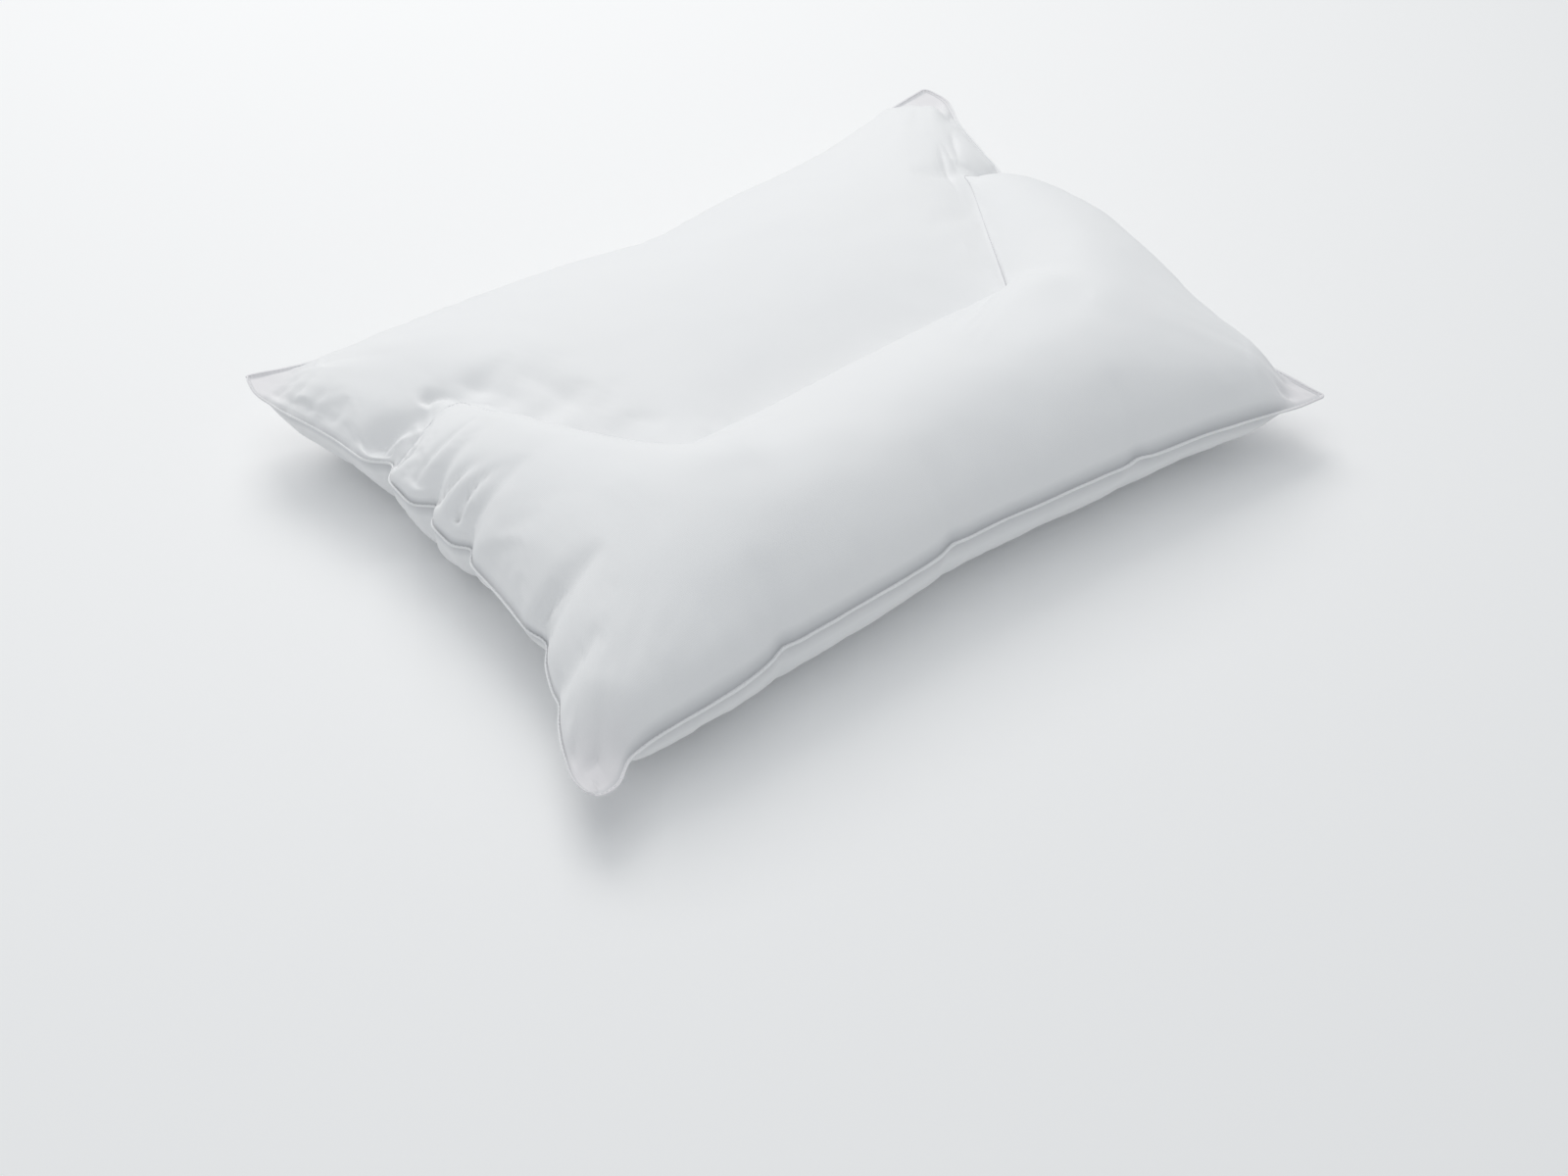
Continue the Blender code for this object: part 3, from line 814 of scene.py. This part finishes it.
    def normals(self, panel: Array) -> Array:
        """Upward normal of each point of a grid of points."""
        normal = np.cross(np.gradient(panel, axis=0), np.gradient(panel, axis=1))
        return normal / np.linalg.norm(normal, axis=-1, keepdims=True)

    def worn(self, panel: Array, sheet: Array, full: Array, top: bool) -> Array:
        """The panel with the small unevenness of real cloth: puckers at the seams, sway and ripples.

        Args:
            panel: grid of points of a panel.
            sheet: the sheet through the seams that it was made from.
            full: fullness of each point.
            top: true for the top, whose channel puckers too.

        Returns:
            The moved grid.
        """
        front, back, left, right = (side[2] for side in self.edge.frames(sheet))
        ends, sides = np.minimum(front, back), np.minimum(left, right)
        depth = np.minimum(ends, sides)
        flat = sheet * (1, 1, 0)
        along = np.where(ends < sides, sheet[..., 0], sheet[..., 1])
        line = np.stack([along, depth * self.pucker_stretch, np.zeros_like(along)], axis=-1)
        start, run = self.gathered_left
        gathered = 1 + self.left_gather * ease((-sheet[..., 0] - start) / run)
        pucker = soft_noise(line, self.pucker_pitch) * np.exp(-depth / self.pucker_reach)
        rise = self.pucker_height * gathered * pucker
        rise += self.sway_height * soft_noise(flat, self.sway_pitch, self.sway_shift)
        rise += self.ripple_height * soft_noise(flat, self.ripple_pitch, self.ripple_shift)
        if top:
            seam = np.abs(sheet[..., 1] - self.channel.plan(sheet[..., 0]))
            across = seam * self.pucker_stretch
            line = np.stack([sheet[..., 0] + sheet[..., 1], across, np.zeros_like(seam)], axis=-1)
            pucker = soft_noise(line, self.pucker_pitch, self.channel_shift)
            pucker *= np.exp(-seam / self.channel_pucker_reach) * ease(seam / self.channel_pucker_start)
            rise = rise * ease(seam / self.channel_hold) + self.channel_pucker_height * pucker
        for side_x, side_y, _ in self.tips:
            way_x = sheet[..., 0] - side_x * self.edge.length / 2
            way_y = sheet[..., 1] - side_y * self.edge.width / 2
            away = np.hypot(way_x, way_y) / self.tip_crease_reach
            turn = np.arctan2(way_y, way_x) * self.tip_creases
            fan = np.stack([turn, away * self.tip_crease_stretch, np.zeros_like(away)], axis=-1)
            fade = away * np.exp(1 - away) * full
            rise += self.tip_crease_height * soft_noise(fan, 1.0, self.tip_shift) * fade
        free = ease(depth / self.edge_hold)
        moved = panel + self.normals(panel) * (rise * free)[..., None]
        moved[..., 2] = np.maximum(moved[..., 2], 0.0)
        on_floor = panel[..., 2] <= 0.0
        moved[on_floor] = panel[on_floor]
        return moved

    def with_lip(self, panel: Array, up: int) -> Array:
        """The panel with more rings of points round it, for the lip.

        Args:
            panel: grid of points of a panel.
            up: 1 for the top and -1 for the under panel.

        Returns:
            The larger grid.
        """
        out = panel
        last_way, last_half = 0.0, self.lip_rings[0][1]
        for way, half in self.lip_rings:
            out = np.pad(out, ((1, 1), (1, 1), (0, 0)), mode="edge")
            ring = self.rim(out.shape[:2])
            uneven = soft_noise(out * (1, 1, 0), self.lip_pitch, self.lip_width_shift)
            step = (way - last_way) * (1 + self.lip_uneven * uneven)
            out[0, :, 0] -= step[0] * self.lip_left
            out[-1, :, 0] += step[-1]
            out[:, 0, 1] -= step[:, 0]
            out[:, -1, 1] += step[:, -1]
            share = (way - last_way) / self.lip_rings[-1][0]
            uneven = soft_noise(out * (1, 1, 0), self.lip_pitch, self.lip_sway_shift)
            sway = share * (self.lip_turn_up + self.lip_sway * uneven)
            out[..., 2][ring] += (up * (half - last_half) + sway)[ring]
            last_way, last_half = way, half
        return out

    def seam_lines(self) -> tuple[Array, Array]:
        """Where the stitches run.

        Returns:
            Points along the channel, and points round the lip in a closed ring.
        """
        sheet = self.sheet()
        top = self.top(sheet, self.fill(sheet))
        lipped = self.round_tips(self.with_lip(top, 1))
        inner = self.stitched_ring
        ring = lipped[inner:-inner, inner:-inner]
        edge = np.concatenate([ring[:-1, 0], ring[-1, :-1], ring[:0:-1, -1], ring[0, :0:-1], ring[:1, 0]])
        return top[:, self.roll_rows], edge

    def painted_seam_shades(self, sheet: Array) -> tuple[Array, Array]:
        """How much painted shade each point gets along the seams: the lip's rim and the channel's line.

        Args:
            sheet: the sheet through the seams.

        Returns:
            A share of painted seam shade from 0 to 1 for each point of the top and of the under panel, lips
            and all.
        """
        # Painted shade: the rim and the channel's line, with less on the rows either side of the channel.
        rim = self.rim(sheet.shape[:2]).astype(float) * self.edge_painted_shade
        channel = rim.copy()
        x = sheet[:, 0, 0]
        grown = ease(np.minimum(x - x[0], x[-1] - x) / self.painted_shade_end)
        for row, share in ((-1, self.channel_painted_shade), (0, 1.0), (1, self.channel_painted_shade)):
            line = channel[:, self.roll_rows + row]
            line[:] = np.maximum(line, share * grown)
        rings = len(self.lip_rings)
        return np.pad(channel, rings), np.pad(rim, rings)

    def build(self) -> bpy.types.Object:
        """Build the closed cover.

        Returns:
            The cover's object, with attributes for the painted shade on the thin ears (their thinness) and in
            the seam lines.
        """
        sheet = self.sheet()
        full = self.fill(sheet)
        top, under = self.top(sheet, full), self.under(sheet, full)
        held = self.rim(sheet.shape[:2])
        sewn = held.copy()
        sewn[:, self.roll_rows] = True
        settled = self.settling.moved((top, under), (sewn, held | (under[..., 2] <= 0.0)))
        top, under = (panel + shift * full[..., None] for panel, shift in zip((top, under), settled))
        under[..., 2] = np.maximum(under[..., 2], 0.0)
        top = self.worn(self.folded(top, sheet), sheet, full, True)
        under = self.worn(under, sheet, full, False)
        top = self.round_tips(self.with_lip(top, 1))
        under = self.round_tips(self.with_lip(under, -1))
        mesh = closed_mesh("pillow_cover", top, under)
        # Painted shade on the flat ears: their thinness, 1 less their fullness, darkens the cloth's colour
        # there and stands in for how light falls on and passes through the thin cloth.
        thin = np.pad(1 - full, len(self.lip_rings), mode="edge").ravel()
        mesh.attributes.new("thin", "FLOAT", "POINT").data.foreach_set("value", np.tile(thin, 2))
        # Painted shade in the seams, kept as an attribute that darkens the cloth's colour.
        painted_shade_top, painted_shade_under = self.painted_seam_shades(sheet)
        groove = np.concatenate([painted_shade_top.ravel(), painted_shade_under.ravel()])
        mesh.attributes.new("groove", "FLOAT", "POINT").data.foreach_set("value", groove)
        return added(bpy.data.objects.new("pillow_cover", mesh))


@dataclass
class Stitching:
    """A row of thread stitches that lie on the cloth."""

    name: str
    pitch: float = 0.0032
    length: float = 0.0024
    thread: float = 0.00055
    lift: float = 0.00015
    sides: int = 6
    profile: tuple[tuple[float, float], ...] = ((-0.5, 0.45), (-0.32, 1.0), (0.32, 1.0), (0.5, 0.45))

    def build(self, path: Array) -> bpy.types.Object:
        """Lay the stitches along a path.

        Args:
            path: points of the path, in metres.

        Returns:
            The object that holds all the stitches.
        """
        gaps = np.linalg.norm(np.diff(path, axis=0), axis=1)
        run = np.concatenate([[0.0], np.cumsum(gaps)])
        at = np.arange(self.pitch / 2, run[-1], self.pitch)
        centre, ahead, behind = (
            np.stack([np.interp(at + shift, run, path[:, k]) for k in range(3)], axis=-1)
            for shift in (0.0, self.length / 2, -self.length / 2))
        way = ahead - behind
        way /= np.linalg.norm(way, axis=1, keepdims=True)
        across = np.cross(way, (0.0, 0.0, 1.0))
        across /= np.linalg.norm(across, axis=1, keepdims=True)
        up = np.cross(across, way)
        centre += up * self.lift
        turns = np.arange(self.sides) * 2 * np.pi / self.sides
        points, faces = [], []
        for along, girth in self.profile:
            middle, radius = centre + way * self.length * along, self.thread / 2 * girth
            for turn in turns:
                points.append(middle + (across * np.cos(turn) + up * np.sin(turn)) * radius)
        rings = len(self.profile)
        for first in range(0, (rings - 1) * self.sides, self.sides):
            for i in range(self.sides):
                j = (i + 1) % self.sides
                faces.append((first + i, first + j, first + self.sides + j, first + self.sides + i))
        step = rings * self.sides
        vertices = np.stack(points, axis=1).reshape(-1, 3)
        whole = [tuple(n + m * step for n in face) for m in range(len(at)) for face in faces]
        for m in range(len(at)):
            whole.append(tuple(m * step + i for i in reversed(range(self.sides))))
            whole.append(tuple((m + 1) * step - self.sides + i for i in range(self.sides)))
        mesh = bpy.data.meshes.new(self.name)
        mesh.from_pydata(vertices.tolist(), [], whole)
        mesh.shade_smooth()
        return added(bpy.data.objects.new(self.name, mesh))


@dataclass(frozen=True)
class ThreadFinish:
    """White sewing thread: twisted, a little glossier than the cloth, with painted shade between its plies.
    """

    name: str = "white_thread"
    color: Color = (0.90, 0.90, 0.90, 1.0)
    # Painted shade in the grooves between the twisted plies.
    shade: Color = (0.80, 0.81, 0.83, 1.0)
    roughness: float = 0.55
    sheen: float = 0.2
    twists: float = 900.0

    def material(self) -> bpy.types.Material:
        """Make the thread's material.

        Returns:
            The new node material.
        """
        material = bpy.data.materials.new(self.name)
        material.use_nodes = True
        nodes, links = material.node_tree.nodes, material.node_tree.links
        shader = nodes["Principled BSDF"]
        set_inputs(shader, {"Roughness": self.roughness, "Sheen Weight": self.sheen})
        place = nodes.new("ShaderNodeTexCoord")
        twist = nodes.new("ShaderNodeTexWave")
        twist.bands_direction = "DIAGONAL"
        set_inputs(twist, {"Scale": self.twists})
        links.new(place.outputs["Object"], twist.inputs["Vector"])
        # Painted shade between the thread's twisted plies: the twist's bands mix in the darker colour.
        tone = nodes.new("ShaderNodeMix")
        tone.data_type = "RGBA"
        set_inputs(tone, {"A": self.shade, "B": self.color})
        links.new(twist.outputs["Fac"], tone.inputs["Factor"])
        links.new(tone.outputs["Result"], shader.inputs["Base Color"])
        return material


@dataclass(frozen=True)
class CottonFinish:
    """White cotton percale: fine plain weave, soft sheen and slightly uneven whiteness, with painted shade in
    the seam lines and on the thin ears.
    """

    name: str = "white_cotton"
    pale: Color = (0.905, 0.905, 0.905, 1.0)
    cool: Color = (0.875, 0.882, 0.892, 1.0)
    # Colour painted onto the thin ears as shade, standing in for how light falls on and passes through the
    # unfilled cloth.
    thin: Color = (0.83, 0.815, 0.83, 1.0)
    # Colour painted into the seam lines as shade.
    groove: Color = (0.58, 0.59, 0.61, 1.0)
    roughness: float = 0.82
    sheen: float = 0.25
    sheen_roughness: float = 0.5
    specular: float = 0.25
    mottle_scale: float = 7.0
    mottle_detail: float = 4.0
    weave_scale: float = 392.7
    weave_wander: float = 1.2
    weave_detail: float = 1.0
    weave_strength: float = 0.16
    weave_height: float = 0.0002

    def material(self) -> bpy.types.Material:
        """Make the cotton's material.

        Returns:
            The new node material.
        """
        material = bpy.data.materials.new(self.name)
        material.use_nodes = True
        nodes, links = material.node_tree.nodes, material.node_tree.links
        shader = nodes["Principled BSDF"]
        set_inputs(shader, {
            "Roughness": self.roughness, "Sheen Weight": self.sheen,
            "Sheen Roughness": self.sheen_roughness, "Specular IOR Level": self.specular})
        place = nodes.new("ShaderNodeTexCoord")
        mottle = nodes.new("ShaderNodeTexNoise")
        set_inputs(mottle, {"Scale": self.mottle_scale, "Detail": self.mottle_detail})
        links.new(place.outputs["Object"], mottle.inputs["Vector"])
        tone = nodes.new("ShaderNodeMix")
        tone.data_type = "RGBA"
        set_inputs(tone, {"A": self.pale, "B": self.cool})
        links.new(mottle.outputs["Fac"], tone.inputs["Factor"])
        # Painted shade: mix a darker colour in on the thin ears and along the seam lines, by their
        # attributes.
        for name, color in (("thin", self.thin), ("groove", self.groove)):
            share = nodes.new("ShaderNodeAttribute")
            share.attribute_name = name
            toned = nodes.new("ShaderNodeMix")
            toned.data_type = "RGBA"
            set_inputs(toned, {"B": color})
            links.new(share.outputs["Fac"], toned.inputs["Factor"])
            links.new(tone.outputs["Result"], toned.inputs["A"])
            tone = toned
        links.new(tone.outputs["Result"], shader.inputs["Base Color"])
        warp = self.threads_node(material, place, "X")
        weft = self.threads_node(material, place, "Y")
        weave = nodes.new("ShaderNodeMath")
        weave.operation = "ADD"
        links.new(warp.outputs["Fac"], weave.inputs[0])
        links.new(weft.outputs["Fac"], weave.inputs[1])
        bump = nodes.new("ShaderNodeBump")
        set_inputs(bump, {"Strength": self.weave_strength, "Distance": self.weave_height})
        links.new(weave.outputs["Value"], bump.inputs["Height"])
        links.new(bump.outputs["Normal"], shader.inputs["Normal"])
        return material

    def threads_node(self, material: bpy.types.Material, place: bpy.types.Node, way: str) -> bpy.types.Node:
        """Add the threads that repeat along one axis.

        Args:
            material: the material that gets the node.
            place: its texture coordinate node.
            way: the axis, X or Y.

        Returns:
            The new wave texture node.
        """
        threads = material.node_tree.nodes.new("ShaderNodeTexWave")
        threads.bands_direction = way
        set_inputs(threads, {
            "Scale": self.weave_scale, "Distortion": self.weave_wander, "Detail": self.weave_detail})
        material.node_tree.links.new(place.outputs["Object"], threads.inputs["Vector"])
        return threads


class Lamp(NamedTuple):
    """A square soft light that faces the pillow, in metres and watts."""

    name: str
    place: Triple
    size: float
    watts: float
    color: Triple


@dataclass
class Studio:
    """Pale floor, soft light from above and behind, and the photograph's camera."""

    camera_place: Triple = (-0.72984, -0.97222, 1.06397)
    camera_turn: Triple = (2.26646, -0.74587, 0.31151)
    lens: float = 46.48
    sensor: float = 36.0
    floor_color: Color = (0.95, 0.95, 0.95, 1.0)
    floor_half: float = 6.0
    floor_roughness: float = 0.9
    floor_specular: float = 0.1
    sky_color: Color = (0.925, 0.965, 1.0, 1.0)
    sky_strength: float = 0.50
    lamps: tuple[Lamp, ...] = (
        Lamp("soft_key", (0.6, 1.7, 2.2), 1.6, 29.5, (1.0, 0.982, 0.96)),
        Lamp("soft_top", (-0.3, 0.2, 2.4), 2.0, 11.5, (1.0, 0.995, 0.99)),
    )

    def camera(self) -> bpy.types.Object:
        """Place the camera at the photograph's viewing angle.

        Returns:
            The camera's object.
        """
        turn = Vector(self.camera_turn)
        world_to_view = Quaternion(turn.normalized(), turn.length).to_matrix()
        flip = Matrix(((1, 0, 0), (0, -1, 0), (0, 0, -1)))
        data = bpy.data.cameras.new("camera")
        data.lens = self.lens
        data.sensor_width = self.sensor
        camera = added(bpy.data.objects.new("camera", data))
        facing = (world_to_view.transposed() @ flip).to_4x4()
        camera.matrix_world = Matrix.Translation(self.camera_place) @ facing
        bpy.context.scene.camera = camera
        return camera

    def light(self, lamp: Lamp) -> bpy.types.Object:
        """Add a light.

        Args:
            lamp: its name, place, size, power and colour.

        Returns:
            The light's object.
        """
        data = bpy.data.lights.new(lamp.name, "AREA")
        data.size, data.energy, data.color = lamp.size, lamp.watts, lamp.color
        light = added(bpy.data.objects.new(lamp.name, data))
        light.location = lamp.place
        light.rotation_euler = (-Vector(lamp.place)).to_track_quat("-Z", "Y").to_euler()
        return light

    def floor(self) -> bpy.types.Object:
        """Add the plain pale floor.

        Returns:
            The floor's object.
        """
        mesh = bpy.data.meshes.new("floor")
        half = self.floor_half
        corners = [(-half, -half, 0), (half, -half, 0), (half, half, 0), (-half, half, 0)]
        mesh.from_pydata(corners, [], [(0, 1, 2, 3)])
        floor = added(bpy.data.objects.new("floor", mesh))
        material = bpy.data.materials.new("pale_floor")
        material.use_nodes = True
        shader = material.node_tree.nodes["Principled BSDF"]
        set_inputs(shader, {
            "Base Color": self.floor_color, "Roughness": self.floor_roughness,
            "Specular IOR Level": self.floor_specular})
        mesh.materials.append(material)
        return floor

    def build(self) -> None:
        """Set up floor, sky, lights and camera."""
        self.floor()
        world = bpy.data.worlds.new("studio")
        world.use_nodes = True
        sky = world.node_tree.nodes["Background"]
        set_inputs(sky, {"Color": self.sky_color, "Strength": self.sky_strength})
        bpy.context.scene.world = world
        for lamp in self.lamps:
            self.light(lamp)
        bpy.context.scene.view_settings.view_transform = "Standard"
        self.camera()


def main() -> None:
    """Build the pillow's cover and the studio."""
    logging.basicConfig(level=logging.INFO, format="%(message)s")
    pillow = Cover()
    cover = pillow.build()
    cover.data.materials.append(CottonFinish().material())
    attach(cover, "root")
    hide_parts("pillow")
    LOG.info("cover: %d faces", len(cover.data.polygons))
    thread = ThreadFinish().material()
    for name, line in zip(("channel_stitches", "edge_stitches"), pillow.seam_lines()):
        stitches = Stitching(name).build(line)
        stitches.data.materials.append(thread)
        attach(stitches, "root")
        LOG.info("%s: %d faces", name, len(stitches.data.polygons))
    Studio().build()


if __name__ == "__main__":
    main()
